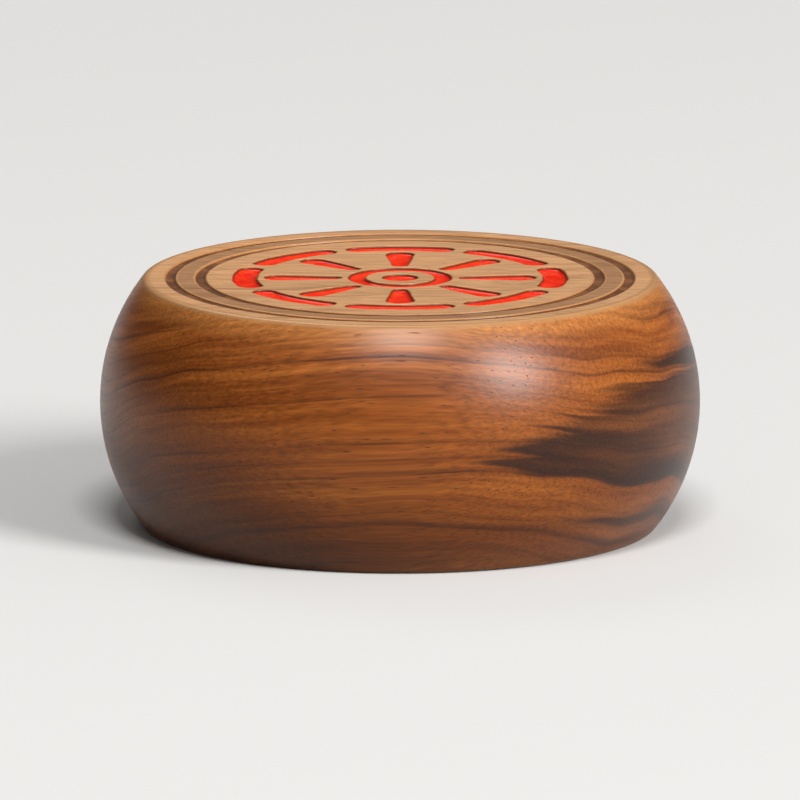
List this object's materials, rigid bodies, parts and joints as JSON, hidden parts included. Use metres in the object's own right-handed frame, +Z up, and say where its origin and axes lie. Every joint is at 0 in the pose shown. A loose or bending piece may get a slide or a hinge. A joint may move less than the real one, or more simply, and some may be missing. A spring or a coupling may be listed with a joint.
{
  "type": "xiangqi piece",
  "caption": "Turned hardwood xiangqi piece: a barrel-sided disc with a double ring line and a lacquer-filled wheel emblem carved into its upper face. It stacks on its flat faces.",
  "frame": {"origin": "centre of the flat base, on the surface that the piece stands on", "axes": "+Z up along the turning axis, out of the carved face; +X along the first spoke of the emblem"},
  "size_m": [0.048, 0.048, 0.02],
  "materials": {
    "turned_wood": "satin",
    "red_lacquer": "gloss",
    "dark_lacquer": "satin"
  },
  "bodies": {
    "root": {"turned_body": "turned_wood", "outer_ring_line": "dark_lacquer", "inner_ring_line": "dark_lacquer", "hub_dot_fill": "red_lacquer", "hub_ring_fill": "red_lacquer", "spoke_fill_1": "red_lacquer", "spoke_fill_2": "red_lacquer", "spoke_fill_3": "red_lacquer", "spoke_fill_4": "red_lacquer", "spoke_fill_5": "red_lacquer", "spoke_fill_6": "red_lacquer", "spoke_fill_7": "red_lacquer", "spoke_fill_8": "red_lacquer", "rim_fill_1": "red_lacquer", "rim_fill_2": "red_lacquer", "rim_fill_3": "red_lacquer", "rim_fill_4": "red_lacquer", "rim_fill_5": "red_lacquer", "rim_fill_6": "red_lacquer", "rim_fill_7": "red_lacquer", "rim_fill_8": "red_lacquer"}
  },
  "joints": []
}
